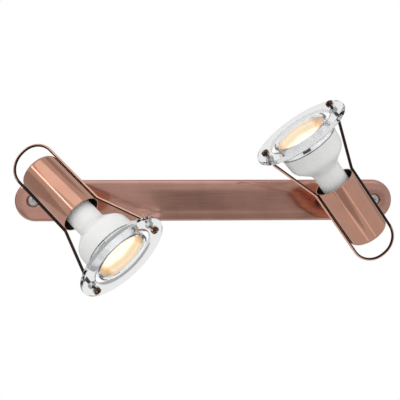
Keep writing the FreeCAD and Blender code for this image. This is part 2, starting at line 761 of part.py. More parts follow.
def arm_nut(side):
    """Nut on the arm's spigot, its flats against the cup's inside."""
    body = new_body(side.label("arm_nut"), side.head_frame)
    sketch = hexagon(new_sketch(body, "YZ", ARM_NUT_SEAT - S.arm_nut_rise), 0, 0, S.arm_nut_flats)
    pad(body, circle(sketch, 0, 0, S.neck_radius + S.fit_gap), S.arm_nut_rise)


def lamp_cup(side):
    """Spun cup with a closed, rounded back and a hole for the arm."""
    body = new_body(side.label("lamp_cup"), side.head_frame)
    rim, bore = S.cup_before_arm, S.neck_radius + S.run_gap
    turn(body, [(0, CUP_BACK), (S.cup_radius, CUP_BACK, S.cup_corner), (S.cup_radius, rim), (CUP_INSIDE, rim),
                (CUP_INSIDE, CUP_FLOOR, S.cup_corner - S.cup_wall), (0, CUP_FLOOR)])
    cylinder(body, "X", S.cup_radius / 2, S.cup_radius + S.cup_wall, bore, cut=True)


def lampholder(side):
    """Ceramic holder with two pin holes and two sunk fixing holes."""
    body = new_body(side.label("lampholder"), side.head_frame)
    cylinder(body, "Z", HOLDER_LOW, LAMP_BASE, HOLDER_RADIUS)
    for sign in (-1, 1):
        pin_hole, fixing = (0, S.pin_pitch / 2 * sign, 0), (HOLDER_SCREW * sign, 0, 0)
        cylinder(body, "Z", LAMP_BASE - S.holder_hole_depth, LAMP_BASE, S.holder_hole, pin_hole, cut=True)
        cylinder(body, "Z", HOLDER_LOW, LAMP_BASE, S.small_shank + S.fit_gap, fixing, cut=True)
        cylinder(body, "Z", HOLDER_SCREW_SEAT, LAMP_BASE, S.small_head + S.run_gap, fixing, cut=True)


def holder_bracket(side):
    """Folded channel welded in the cup's back, tapped for the holder's screws."""
    body = new_body(side.label("holder_bracket"), side.head_frame)
    half, wall = S.holder_plate_width / 2, S.holder_plate
    foot, shelf = CUP_FLOOR + wall, HOLDER_LOW - wall
    profile = [(-half, CUP_FLOOR), (half, CUP_FLOOR), (half, foot), (wall - half, foot), (wall - half, shelf),
               (half, shelf), (half, HOLDER_LOW), (-half, HOLDER_LOW)]
    length = 2 * (HOLDER_SCREW + S.holder_plate_margin)
    pad(body, outline(new_sketch(body, "YZ"), profile), length, symmetric=True)
    for sign in (-1, 1):
        fixing = (HOLDER_SCREW * sign, 0, 0)
        cylinder(body, "Z", shelf, HOLDER_LOW, S.small_shank + S.fit_gap, fixing, cut=True)


def holder_screws(side):
    """Two screws sunk in the holder."""
    body = new_body(side.label("holder_screws"), side.head_frame)
    tip, head_top = HOLDER_LOW - S.holder_plate - S.thread_end, HOLDER_SCREW_SEAT + S.small_head_rise
    for sign in (-1, 1):
        fixing = (HOLDER_SCREW * sign, 0, 0)
        cylinder(body, "Z", tip, HOLDER_SCREW_SEAT, S.small_shank, fixing)
        cylinder(body, "Z", HOLDER_SCREW_SEAT, head_top, S.small_head, fixing)


def lamp_body(side):
    """White housing: straight neck, bell flare and a dished front that takes the reflector."""
    body = new_body(side.label("lamp_body"), side.head_frame)
    turn(body, [(0, LAMP_BASE), (LAMP_NECK, LAMP_BASE), (LAMP_NECK, LAMP_FLARE, S.lamp_neck_bend),
                (S.lamp_radius - S.lamp_shoulder_taper, LAMP_SHOULDER, S.lamp_shoulder_bend),
                (S.lamp_radius, LAMP_SEAM), (S.lamp_radius - S.collar_wall, LAMP_SEAM),
                (S.reflector_throat + S.reflector_wall + S.reflector_gap, LAMP_FLOOR), (0, LAMP_FLOOR)])


def lamp_pins(side):
    """Two bayonet pins with wide ends."""
    body = new_body(side.label("lamp_pins"), side.head_frame)
    end = LAMP_BASE - S.pin_length
    for sign in (-1, 1):
        spot = (0, S.pin_pitch / 2 * sign, 0)
        cylinder(body, "Z", end, LAMP_BASE, S.pin_radius, spot)
        cylinder(body, "Z", end, end + S.pin_head_rise, S.pin_head, spot)


def lamp_collar(side):
    """Clear band in front of the seam, with a ledge that the lens sits on."""
    body = new_body(side.label("lamp_collar"), side.head_frame)
    wall, mouth = S.collar_wall, LAMP_FRONT_RADIUS - S.collar_wall
    turn(body, [(S.lamp_radius - wall, LAMP_SEAM), (S.lamp_radius, LAMP_SEAM),
                (LAMP_FRONT_RADIUS, LAMP_FRONT), (mouth, LAMP_FRONT), (mouth, LENS_BACK),
                (mouth - wall, LENS_BACK), (mouth - wall, LENS_BACK - wall)])


def lamp_lens(side):
    """Clear front disc on the collar's ledge."""
    body = new_body(side.label("lamp_lens"), side.head_frame)
    cylinder(body, "Z", LENS_BACK, LENS_FRONT, LAMP_FRONT_RADIUS - S.collar_wall - S.fit_gap)


def lamp_reflector(side):
    """Conical reflector between the housing's floor and the lens."""
    body = new_body(side.label("lamp_reflector"), side.head_frame)
    mouth = LAMP_FRONT_RADIUS - 2 * S.collar_wall - S.run_gap
    turn(body, [(S.reflector_throat, LAMP_FLOOR), (S.reflector_throat + S.reflector_wall, LAMP_FLOOR),
                (mouth, LENS_BACK), (mouth - S.reflector_wall, LENS_BACK)])


def lamp_tube(side):
    """Glowing burner with a domed end."""
    body = new_body(side.label("lamp_tube"), side.head_frame)
    end = LAMP_FLOOR + S.burner_length
    stem = cylinder(body, "Z", LAMP_FLOOR, end, S.burner_radius)
    fillet(body, stem, S.burner_round, lambda edge: lies_at(edge, "Z", end))


def wire_loop(side):
    """One rod: threaded end, splayed arm, along the cup, hairpin behind it, and back the same way."""
    body = new_body(side.label("wire_loop"), side.head_frame)
    half = [(RING_BOLT, WIRE_END), (RING_BOLT, REAR_NUT_LOW - S.wire_straight, S.wire_ring_bend),
            (WIRE_SIDE, S.cup_before_arm, S.wire_rim_bend),
            (WIRE_SIDE, CUP_BACK - S.wire_loop_reach, WIRE_SIDE - S.wire_loop_flat)]
    other = [(-corner[0],) + corner[1:] for corner in reversed(half)]
    profile = circle(new_sketch(body, "XY", WIRE_END), 0, RING_BOLT, S.wire_radius)
    pipe(body, profile, outline(new_sketch(body, "YZ"), half + other, closed=False))


def glass_ring(side):
    """Flat clear ring with softened edges and two holes for the rod's ends."""
    body = new_body(side.label("glass_ring"), side.head_frame)
    turn(body, [(RING_INNER, RING_BACK, S.ring_edge), (RING_OUTER, RING_BACK, S.ring_edge),
                (RING_OUTER, RING_FRONT, S.ring_edge), (RING_INNER, RING_FRONT, S.ring_edge)])
    for sign in (-1, 1):
        cylinder(body, "Z", RING_BACK, RING_FRONT, S.ring_hole, (0, RING_BOLT * sign, 0), cut=True)


def ring_nuts(side, name, low):
    """A pair of hexagon nuts on the rod's ends."""
    body = new_body(side.label(name), side.head_frame)
    sketch = hexagon(new_sketch(body, "XY", low), 0, RING_BOLT, S.ring_nut_flats)
    mirrored(body, "XZ", pad(body, circle(sketch, 0, RING_BOLT, S.wire_radius + S.fit_gap), S.ring_nut_rise))


def ring_washers(side):
    """Clear washers between the glass and the front nuts."""
    body = new_body(side.label("ring_washers"), side.head_frame)
    sketch = new_sketch(body, "XY", RING_FRONT)
    for radius in (S.ring_washer_radius, S.wire_radius + S.fit_gap):
        circle(sketch, 0, RING_BOLT, radius)
    mirrored(body, "XZ", pad(body, sketch, S.ring_washer_wall))


# ---------------------------------------------------------------- build, check and write

def build():
    for make in (cover_pan, wall_bracket, cover_screws, terminal_block, terminal_tubes, terminal_screws,
                 block_screw, earth_screw):
        make()
    for side in SIDES:
        for make in (lead, friction_washer, swivel_stem, stop_washer, stem_nut, knuckle_fork, tilt_screw,
                     tilt_nut, tilt_washers, head_arm, arm_nut, lamp_cup, lampholder, holder_bracket,
                     holder_screws, lamp_body, lamp_pins, lamp_collar, lamp_lens, lamp_reflector, lamp_tube,
                     wire_loop, glass_ring, ring_washers):
            make(side)
        ring_nuts(side, "rear_nuts", REAR_NUT_LOW)
        ring_nuts(side, "front_nuts", FRONT_NUT_LOW)
    doc.recompute()


CUTS = ("PartDesign::Pocket", "PartDesign::SubtractiveCylinder")


def faults():
    """Everything that failed, is empty or cuts nothing."""
    found = [f"{item.Name}: {item.State}" for item in doc.Objects if set(item.State) & {"Invalid", "Error"}]
    found += [f"{body.Label}: bad shape" for body in NODES if body.Shape.isNull() or not body.Shape.isValid()]
    for item in doc.Objects:
        if item.TypeId in CUTS and item.Shape.Volume > item.BaseFeature.Shape.Volume - 1e-6:
            found.append(f"{item.Name}: cuts nothing")
    return found


build()
problems = faults()
if problems:
    raise RuntimeError("; ".join(problems))
os.makedirs("parts", exist_ok=True)
for node in NODES:
    node.Shape.exportStep(f"parts/{node.Label}.step")
print(len(NODES), "nodes,", sum(len(node.Shape.Solids) for node in NODES), "solids")
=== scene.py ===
"""Pivoting spotlight wall light: a long copper plate carries two lamp cups that swivel and tilt.

Metres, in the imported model's frame: +Z is up, the wall is the plane Y = 0 and the light stands towards -Y.
"""

import json
import math

import bpy
from mathutils import Matrix, Vector

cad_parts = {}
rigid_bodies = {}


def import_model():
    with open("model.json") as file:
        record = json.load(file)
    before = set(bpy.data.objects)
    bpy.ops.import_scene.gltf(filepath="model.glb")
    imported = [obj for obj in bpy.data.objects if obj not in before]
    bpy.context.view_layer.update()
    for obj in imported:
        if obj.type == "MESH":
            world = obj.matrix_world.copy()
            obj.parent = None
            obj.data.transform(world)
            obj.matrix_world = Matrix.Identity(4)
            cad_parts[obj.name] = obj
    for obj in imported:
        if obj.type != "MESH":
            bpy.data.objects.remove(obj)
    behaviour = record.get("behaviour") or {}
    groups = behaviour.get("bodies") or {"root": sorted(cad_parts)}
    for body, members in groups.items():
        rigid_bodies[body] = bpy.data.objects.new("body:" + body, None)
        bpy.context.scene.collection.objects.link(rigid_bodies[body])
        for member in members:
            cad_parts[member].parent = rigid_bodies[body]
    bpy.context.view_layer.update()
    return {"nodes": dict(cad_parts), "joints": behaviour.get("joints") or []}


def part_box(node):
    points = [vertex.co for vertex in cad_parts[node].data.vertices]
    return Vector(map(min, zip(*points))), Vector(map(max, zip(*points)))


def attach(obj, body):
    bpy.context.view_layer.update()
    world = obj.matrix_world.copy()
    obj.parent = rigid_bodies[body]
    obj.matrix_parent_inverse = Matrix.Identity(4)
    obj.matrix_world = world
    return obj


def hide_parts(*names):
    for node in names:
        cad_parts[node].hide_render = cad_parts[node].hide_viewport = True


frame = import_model()
bpy.ops.object.select_all(action="DESELECT")

# ------------------------------------------------------------------ wall plate
# A pan pressed from 1 mm steel, copper plated, brushed lengthwise and lacquered. Its front is slightly
# crowned, its rim is rolled over, and a dimple at each end takes a cover screw.

PLATE_LOW, PLATE_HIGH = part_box("cover_pan")
PLATE_DEPTH = -PLATE_LOW.y
PLATE_WALL = 0.001
PLATE_CROWN = 0.0005
CROWN_WIDTH = 0.0095
CROWN_STEPS = 5
CROWN_EDGE = 0.0003
RIM_ROUND = 0.0025
DIMPLE_RADIUS = 0.0058
DIMPLE_LIP = 0.0009
DIMPLE_DEPTH = 0.0024
DIMPLE_CORNER = 0.0006
SCREW_HEAD = 0.00475
SCREW_HOLE = 0.0026
STEM_HOLE = 0.0051
STEM_CUT = 0.010


def pick(piece, kind, wanted):
    """Open a piece in edit mode with only the vertices, edges or faces that the test wants selected."""
    bpy.context.view_layer.objects.active = piece
    bpy.ops.object.mode_set(mode="EDIT")
    bpy.ops.mesh.select_mode(type=kind)
    bpy.ops.mesh.select_all(action="DESELECT")
    bpy.ops.object.mode_set(mode="OBJECT")
    mesh = piece.data
    for item in {"VERT": mesh.vertices, "EDGE": mesh.edges, "FACE": mesh.polygons}[kind]:
        item.select = wanted(item)
    bpy.ops.object.mode_set(mode="EDIT")


def finish_edit(piece, merge=False):
    """Leave edit mode with faces pointing outwards and, where asked, doubled points merged."""
    bpy.ops.mesh.select_all(action="SELECT")
    if merge:
        bpy.ops.mesh.remove_doubles(threshold=1e-6)
    bpy.ops.mesh.normals_make_consistent(inside=False)
    bpy.ops.object.mode_set(mode="OBJECT")


def modify(piece, kind, **settings):
    """Add one modifier to a piece and apply it."""
    bpy.context.view_layer.objects.active = piece
    modifier = piece.modifiers.new(kind.title(), kind)
    for name, value in settings.items():
        setattr(modifier, name, value)
    bpy.ops.object.modifier_apply(modifier=modifier.name)


def carve(piece, tool, operation="DIFFERENCE"):
    """Cut a tool out of a piece, or join it on, and throw the tool away."""
    modify(piece, "BOOLEAN", object=tool, operation=operation, solver="EXACT")
    bpy.data.objects.remove(tool)


def settle(piece, place=None):
    """Put a finished piece's place into its mesh and leave its object at the origin."""
    bpy.context.view_layer.update()
    piece.data.transform((place or Matrix()) @ piece.matrix_world)
    piece.matrix_world = Matrix()
    return piece


def smooth(piece, degrees=35):
    bpy.ops.object.select_all(action="DESELECT")
    piece.select_set(True)
    bpy.context.view_layer.objects.active = piece
    bpy.ops.object.shade_smooth_by_angle(angle=math.radians(degrees))
    piece.select_set(False)


def arc(radius, height, size, start, end, steps):
    """Points of a rounded corner about (radius, height), from one angle to another in degrees."""
    angles = [math.radians(start + (end - start) * k / steps) for k in range(steps + 1)]
    return [(radius + size * math.cos(a), height + size * math.sin(a)) for a in angles]


def turned(name, profile, sides=96):
    """A piece turned about Z: a circle drawn out through (radius, height) steps and closed at its ends."""
    (radius, height), *steps = profile
    bpy.ops.mesh.primitive_circle_add(vertices=sides, radius=radius, location=(0, 0, height))
    piece = bpy.context.object
    piece.name = name
    bpy.ops.object.mode_set(mode="EDIT")
    bpy.ops.mesh.select_mode(type="EDGE")
    bpy.ops.mesh.select_all(action="SELECT")
    for next_radius, next_height in steps:
        bpy.ops.mesh.extrude_edges_move(TRANSFORM_OT_translate={"value": (0, 0, next_height - height)})
        grow = next_radius / radius
        bpy.ops.transform.resize(value=(grow, grow, 1), center_override=(0, 0, next_height))
        radius, height = next_radius, next_height
    bpy.ops.object.mode_set(mode="OBJECT")
    settle(piece)
    if profile[0] != profile[-1]:
        for end in (profile[0], profile[-1]):
            pick(piece, "VERT", lambda vertex: abs(vertex.co.z - end[1]) < 1e-7
                 and abs(vertex.co.xy.length - end[0]) < 1e-7)
            bpy.ops.mesh.edge_face_add()
            bpy.ops.object.mode_set(mode="OBJECT")
    pick(piece, "VERT", lambda vertex: True)
    finish_edit(piece, merge=True)
    return piece


FRONTWARD = Matrix.Rotation(math.radians(90), 4, "X")


def on_plate(piece, across, out=0.0):
    """Stand a piece that was turned about Z on the plate, pointing out from the wall."""
    return settle(piece, Matrix.Translation((across, -out, 0)) @ FRONTWARD)


half_width, half_length = PLATE_HIGH.z, PLATE_HIGH.x
side_height = PLATE_DEPTH - PLATE_CROWN - RIM_ROUND
bpy.ops.mesh.primitive_cylinder_add(vertices=128, radius=half_width, depth=side_height,
                                    location=(0, 0, side_height / 2))
plate = on_plate(bpy.context.object, 0)
plate.name = "plate_shell"
for sign in (-1, 1):
    pick(plate, "VERT", lambda vertex: vertex.co.x * sign > 1e-6)
    bpy.ops.transform.translate(value=(sign * (half_length - half_width), 0, 0))
    bpy.ops.object.mode_set(mode="OBJECT")
pick(plate, "FACE", lambda face: face.normal.y < -0.9)
rim = arc(0, 0, RIM_ROUND, 0, 84, 7)
for (out_now, up_now), (out_next, up_next) in zip(rim, rim[1:]):
    bpy.ops.mesh.inset(thickness=out_now - out_next, depth=up_next - up_now)
for k in range(CROWN_STEPS):
    fall_now, fall_next = (1 - k / CROWN_STEPS) ** 2, (1 - (k + 1) / CROWN_STEPS) ** 2
    bpy.ops.mesh.inset(thickness=CROWN_WIDTH / CROWN_STEPS, depth=PLATE_CROWN * (fall_now - fall_next))
bpy.ops.mesh.inset(thickness=CROWN_EDGE, depth=0)
bpy.ops.object.mode_set(mode="OBJECT")
pick(plate, "FACE", lambda face: face.normal.y > 0.9)
bpy.ops.mesh.delete(type="ONLY_FACE")
bpy.ops.object.mode_set(mode="OBJECT")
modify(plate, "SOLIDIFY", thickness=PLATE_WALL, offset=-1, use_even_offset=True)

front = -min(vertex.co.y for vertex in plate.data.vertices)
screw_low, screw_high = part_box("cover_screws")
dimple_places = [screw_low.x + SCREW_HEAD, screw_high.x - SCREW_HEAD]
dimple_floor = front - DIMPLE_DEPTH
for across in dimple_places:
    boss = turned("dimple_back", [(DIMPLE_RADIUS - PLATE_WALL, dimple_floor - PLATE_WALL)]
                  + arc(DIMPLE_RADIUS, dimple_floor, PLATE_WALL, -90, 0, 5)
                  + [(DIMPLE_RADIUS + PLATE_WALL, front - PLATE_WALL / 2)], sides=64)
    carve(plate, on_plate(boss, across), "UNION")
    lip = arc(DIMPLE_RADIUS + DIMPLE_LIP, front - DIMPLE_LIP, DIMPLE_LIP, 180, 98, 6)
    foot = arc(DIMPLE_RADIUS - DIMPLE_CORNER, dimple_floor + DIMPLE_CORNER, DIMPLE_CORNER, -90, 0, 4)
    hollow = turned("dimple", foot + lip + [(lip[-1][0], front + PLATE_WALL)], sides=64)
    carve(plate, on_plate(hollow, across))
    hole = turned("screw_hole", [(SCREW_HOLE, dimple_floor - 2 * PLATE_WALL), (SCREW_HOLE, front)], sides=48)
    carve(plate, on_plate(hole, across))
for joint in frame["joints"]:
    if joint["parent"] == "plate":
        hole = turned("stem_hole", [(STEM_HOLE, front - STEM_CUT), (STEM_HOLE, front + STEM_CUT)], sides=64)
        carve(plate, on_plate(hole, joint["pos_m"][0]))
smooth(plate)


class Socket:
    """A shader socket that sums work on: each operator adds its Math node."""

    def __init__(self, finish, socket):
        self.finish, self.socket = finish, socket

    def sum(self, operation, first, second):
        return self.finish.node("Math", {"operation": operation}, {0: first, 1: second})

    def __add__(self, other):
        return self.sum("ADD", self, other)

    def __sub__(self, other):
        return self.sum("SUBTRACT", self, other)

    def __rsub__(self, other):
        return self.sum("SUBTRACT", other, self)

    def __mul__(self, other):
        return self.sum("MULTIPLY", self, other)

    __radd__, __rmul__ = __add__, __mul__


class Finish:
    """A material under construction; node() adds any node and gives back one of its outputs."""

    def __init__(self, name, tree=None):
        self.material = None if tree else bpy.data.materials.new(name)
        if self.material:
            self.material.use_nodes = True
        self.tree = tree or self.material.node_tree
        self.tree.nodes.clear()

    def node(self, kind, settings, sockets, output=0):
        made = self.tree.nodes.new("ShaderNode" + kind)
        for name, value in settings.items():
            if name == "stops":
                ramp = made.color_ramp.elements
                while len(ramp) < len(value):
                    ramp.new(1.0)
                for element, (position, tone) in zip(ramp, value):
                    element.position, element.color = position, (*tone, 1) if len(tone) == 3 else tone
            else:
                setattr(made, name, value)
        for name, value in sockets.items():
            if isinstance(value, Socket):
                self.tree.links.new(value.socket, made.inputs[name])
            else:
                made.inputs[name].default_value = value
        return Socket(self, made.outputs[output]) if len(made.outputs) else made

    def surface(self, shader):
        self.node("OutputMaterial", {}, {"Surface": shader})
        return self.material


def brushed_copper(name, place, stretch, tone, roughness=0.2, contrast=0.12, relief=0.03, lacquer=0.35):
    """Antique copper plate: patina in soft drifts, brush lines drawn out by the stretch, and a lacquer."""
    finish = Finish(name)
    if place == "Object":
        spot = finish.node("TexCoord", {}, {}, output="Object")
    else:
        spot = finish.node("Attribute", {"attribute_name": place}, {}, output="Vector")
    lines = finish.node("Mapping", {}, {"Vector": spot, "Scale": stretch})
    brush = finish.node("TexNoise", {}, {"Vector": lines, "Scale": 1, "Detail": 4, "Roughness": 0.65})
    cloud = finish.node("TexNoise", {}, {"Vector": spot, "Scale": 60, "Detail": 3, "Roughness": 0.5})
    shade = brush * 0.55 + cloud * 0.45
    dark, light = (tuple(c * k for c in tone[:3]) for k in (1 - contrast, 1 + contrast))
    colour = finish.node("ValToRGB", {"stops": [(0.3, dark), (0.7, light)]}, {"Fac": shade})
    bump = finish.node("Bump", {}, {"Height": brush, "Strength": relief, "Distance": 0.00005})
    shader = finish.node("BsdfPrincipled", {}, {
        "Base Color": colour, "Metallic": 1.0, "Roughness": brush * 0.08 + (roughness - 0.04),
        "Normal": bump, "Coat Weight": lacquer, "Coat Roughness": 0.08})
    return finish.surface(shader)


PLATE_TONE = (0.62, 0.330, 0.262)
plate.data.materials.clear()
plate.data.materials.append(brushed_copper("plate_copper", "Object", (22, 1500, 900), PLATE_TONE,
                                          roughness=0.14, contrast=0.16, relief=0.10, lacquer=0.7))
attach(plate, "plate")
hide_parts("cover_pan")

# ------------------------------------------------------------------ cover screws
# Two bright zinc M5 pan-head machine screws with a cross recess, one in each dimple. They reach through the
# plate into the bracket's raised ends.

SHANK_RADIUS = 0.0025
SHANK_EDGE = 0.0004
HEAD_ROUND = 0.0016
HEAD_RISE = -screw_low.y - dimple_floor
RECESS_LENGTH = 0.0052
RECESS_WIDTH = 0.0011
RECESS_DEPTH = 0.0017
RECESS_TAPER = 0.45
RECESS_TURN = 20


def metal(name, tone, roughness, grain=900):
    """Plain plated metal with a faint grain."""
    finish = Finish(name)
    spot = finish.node("TexCoord", {}, {}, output="Object")
    speckle = finish.node("TexNoise", {}, {"Vector": spot, "Scale": grain, "Detail": 3})
    dark, light = (tuple(c * k for c in tone) for k in (0.86, 1.08))
    colour = finish.node("ValToRGB", {"stops": [(0.3, dark), (0.7, light)]}, {"Fac": speckle})
    bump = finish.node("Bump", {}, {"Height": speckle, "Strength": 0.1, "Distance": 0.00005})
    shader = finish.node("BsdfPrincipled", {}, {"Base Color": colour, "Metallic": 1.0, "Normal": bump,
                                                "Roughness": speckle * 0.12 + (roughness - 0.06)})
    return finish.surface(shader)


bright_zinc = metal("bright_zinc", (0.62, 0.66, 0.67), 0.22)
shank_end = -screw_high.y
shank = [(SHANK_RADIUS - SHANK_EDGE, shank_end), (SHANK_RADIUS, shank_end + SHANK_EDGE),
         (SHANK_RADIUS, dimple_floor), (SCREW_HEAD, dimple_floor)]
pan = arc(SCREW_HEAD - HEAD_ROUND, dimple_floor + HEAD_RISE - HEAD_ROUND, HEAD_ROUND, 0, 90, 8)
screw = turned("cover_screw", shank + pan, sides=64)
for turn in (0, 90):
    bpy.ops.mesh.primitive_cube_add(size=1, location=(0, 0, dimple_floor + HEAD_RISE))
    blade = bpy.context.object
    blade.scale = (RECESS_LENGTH, RECESS_WIDTH, 2 * RECESS_DEPTH)
    blade.rotation_euler.z = math.radians(turn + RECESS_TURN)
    settle(blade)
    pick(blade, "FACE", lambda face: face.normal.z < -0.9)
    bpy.ops.transform.resize(value=(RECESS_TAPER, RECESS_TAPER, 1), center_override=(0, 0, 0))
    bpy.ops.object.mode_set(mode="OBJECT")
    carve(screw, blade)
smooth(screw)
screw.data.materials.append(bright_zinc)
screws = []
for across in dimple_places:
    copy = screw.copy()
    copy.data = screw.data.copy()
    bpy.context.scene.collection.objects.link(copy)
    screws.append(on_plate(copy, across))
bpy.data.objects.remove(screw)
bpy.ops.object.select_all(action="DESELECT")
for copy in screws:
    copy.select_set(True)
bpy.context.view_layer.objects.active = screws[0]
bpy.ops.object.join()
screws = bpy.context.object
screws.name = "plate_screws"
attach(screws, "plate")
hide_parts("cover_screws")

# ------------------------------------------------------------------ bracket and wiring behind the plate
# A zinc-plated crossbar screwed to the wall carries a nylon strip with brass tubes and screws, and an earth
# screw. Two sleeved leads run from the strip into the swivel stems.


def paint(slot, material, *nodes):
    """Give carried-over nodes a finish in their own material slots."""
    for node in nodes:
        piece = frame["nodes"][node]
        if not piece.data.materials:
            piece.data.materials.append(material)
        for k in range(len(piece.data.materials)):
            piece.data.materials[k] = material


def moulded(name, tone, roughness, grain=700, depth=0.06, coat=0.0):
    """Moulded or fired material with a faint surface texture."""
    finish = Finish(name)
    spot = finish.node("TexCoord", {}, {}, output="Object")
    speckle = finish.node("TexNoise", {}, {"Vector": spot, "Scale": grain, "Detail": 3})
    dark, light = (tuple(c * k for c in tone) for k in (0.96, 1.03))
    colour = finish.node("ValToRGB", {"stops": [(0.3, dark), (0.7, light)]}, {"Fac": speckle})
    bump = finish.node("Bump", {}, {"Height": speckle, "Strength": depth, "Distance": 0.00005})
    shader = finish.node("BsdfPrincipled", {}, {"Base Color": colour, "Roughness": roughness, "Normal": bump,
                                                "Coat Weight": coat, "Coat Roughness": 0.1})
    return finish.surface(shader)


zinc = metal("zinc_steel", (0.52, 0.53, 0.52), 0.38, grain=250)
brass = metal("brass", (0.62, 0.47, 0.20), 0.3)
nylon = moulded("nylon", (0.75, 0.74, 0.70), 0.45)
sleeve = moulded("sleeve", (0.60, 0.57, 0.50), 0.6, grain=2500, depth=0.3)
paint("zinc_steel", zinc, "wall_bracket")
paint("nylon", nylon, "terminal_block")
paint("brass_part", brass, "terminal_tubes")
paint("bright_screw", bright_zinc, "terminal_screws", "block_screw", "earth_screw")
paint("lead_sleeve", sleeve, "left_lead", "right_lead")

# ------------------------------------------------------------------ swivels and tilt knuckles
# A hollow stem turns in the plate between nylon washers and carries a fork. The head's arm tilts in the fork
# on a screw with friction washers. The copper-plated parts are turned or cast and sit behind the cups.

knuckle_copper = brushed_copper("knuckle_copper", "Object", (600, 600, 600), (0.56, 0.29, 0.21),
                                roughness=0.28)
dark_copper = metal("dark_copper", (0.10, 0.045, 0.028), 0.24)
for side in ("left_", "right_"):
    paint("knuckle_copper", knuckle_copper, side + "knuckle_fork", side + "head_arm", side + "swivel_stem")
    paint("zinc_steel", zinc, side + "stem_nut", side + "stop_washer", side + "arm_nut")
    paint("nut_copper", dark_copper, side + "tilt_screw", side + "tilt_nut")
    paint("nylon", nylon, side + "friction_washer", side + "tilt_washers")

# ------------------------------------------------------------------ lamp cups
# Each cup is spun from steel with a closed, rounded back, copper plated and brushed round. It is enamelled
# black inside, and its cut rim is left bright.


class Head:
    """A head's own frame at rest: Z along the lamp, X towards the tilt pivot, origin beside the pivot."""

    def __init__(self, side):
        self.side = side
        holder, lens = (sum(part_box(side + part), Vector()) / 2 for part in ("lampholder", "lamp_lens"))
        pivot = Vector(next(j["pos_m"] for j in frame["joints"] if j["name"] == side + "tilt"))
        along = (lens - holder).normalized()
        origin = holder + along * (pivot - holder).dot(along)
        across = (pivot - origin).normalized()
        rows = Matrix((across, along.cross(across), along)).transposed()
        self.place = Matrix.Translation(origin) @ rows.to_4x4()

    def reach(self, part):
        """Lowest and highest corner of one of the head's nodes, in the head's own frame."""
        inward = self.place.inverted()
        spots = [inward @ vertex.co for vertex in frame["nodes"][self.side + part].data.vertices]
        return [Vector(end(spot[k] for spot in spots) for k in range(3)) for end in (min, max)]


HEADS = [Head("left_"), Head("right_")]
FIRST = HEADS[0]


def fit_heads(piece, part, node, turned_by=None):
    """Copy a piece drawn in the head's frame onto both heads, keeping its drawn place as an attribute."""
    for head in HEADS:
        copy = piece.copy()
        copy.data = piece.data.copy()
        bpy.context.scene.collection.objects.link(copy)
        if turned_by:
            copy.data.transform(Matrix.Rotation(math.radians(turned_by[head.side]), 4, "Z"))
        drawn = copy.data.attributes.new("drawn_place", "FLOAT_VECTOR", "POINT")
        drawn.data.foreach_set("vector", [c for vertex in copy.data.vertices for c in vertex.co])
        settle(copy, head.place)
        copy.name = head.side + part
        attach(copy, head.side + "head")
        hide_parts(head.side + node)
    bpy.data.objects.remove(piece)


CUP_WALL = 0.0008
CUP_CORNER = 0.0032
CUP_EYE = 0.0008
ARM_HOLE = 0.0041
ARM_CUT = 0.005
cup_low, cup_high = FIRST.reach("lamp_cup")
cup_radius, cup_back, cup_mouth = cup_high.y, cup_low.z, cup_high.z
outer_corner = arc(cup_radius - CUP_CORNER, cup_back + CUP_CORNER, CUP_CORNER, -90, 0, 10)
inner_corner = arc(cup_radius - CUP_CORNER, cup_back + CUP_CORNER, CUP_CORNER - CUP_WALL, 0, -90, 8)
rim_edge = arc(cup_radius - CUP_WALL / 2, cup_mouth - CUP_WALL / 2, CUP_WALL / 2, 0, 180, 6)
cup = turned("cup", [(CUP_EYE, cup_back)] + outer_corner + rim_edge + inner_corner
             + [(CUP_EYE, cup_back + CUP_WALL)], sides=160)
arm_hole = turned("arm_hole", [(ARM_HOLE, cup_radius - ARM_CUT), (ARM_HOLE, cup_radius + ARM_CUT)], sides=48)
settle(arm_hole, Matrix.Rotation(math.radians(90), 4, "Y"))
carve(cup, arm_hole)
smooth(cup)
cup_copper = brushed_copper("cup_copper", "drawn_place", (60, 60, 1900), (0.74, 0.385, 0.275),
                            roughness=0.13, relief=0.015)
black_enamel = moulded("black_enamel", (0.012, 0.011, 0.011), 0.45)
rim_copper = metal("rim_copper", (0.75, 0.40, 0.27), 0.2)
for material in (cup_copper, black_enamel, rim_copper):
    cup.data.materials.append(material)
for face in cup.data.polygons:
    spot, ring = face.center, face.center.xy.length
    inside = ring < cup_radius - CUP_WALL * 0.7 and spot.z > cup_back + CUP_WALL * 0.7
    face.material_index = 2 if spot.z > cup_mouth - CUP_WALL * 0.75 else 1 if inside else 0
fit_heads(cup, "cup_shell", "lamp_cup")

# ------------------------------------------------------------------ lampholders
# A round ceramic holder stands on a folded steel bracket at the back of each cup, fixed by two sunk screws.
# The lamp's two plated pins lock into it.

ceramic = moulded("ceramic", (0.70, 0.68, 0.63), 0.35, coat=0.3)
for head in HEADS:
    paint("ceramic_holder", ceramic, head.side + "lampholder")
    paint("zinc_steel", zinc, head.side + "holder_bracket")
    paint("bright_screw", bright_zinc, head.side + "holder_screws")
    paint("bright_screw", bright_zinc, head.side + "lamp_pins")

# ------------------------------------------------------------------ lamp bodies
# The lamp's housing is moulded in white plastic: a straight neck that flares into a bell, with a dark seam
# where the clear front snaps on.

body_low, body_high = FIRST.reach("lamp_body")
NECK_RADIUS = 0.0121
NECK_LENGTH = 0.0498
NECK_EDGE = 0.0012
NECK_BEND = 0.008
FLARE_LENGTH = 0.0107
SHOULDER_RADIUS = 0.0240
SHOULDER_BEND = 0.010
LIP_EDGE = 0.0004
LIP_DRAFT = 0.00005
LIP_WIDTH = 0.0014
CONE_RADIUS = 0.0112
CONE_DEPTH = 0.0118
SEAM_HEIGHT = 0.0006
SEAM_WIDTH = 0.0015


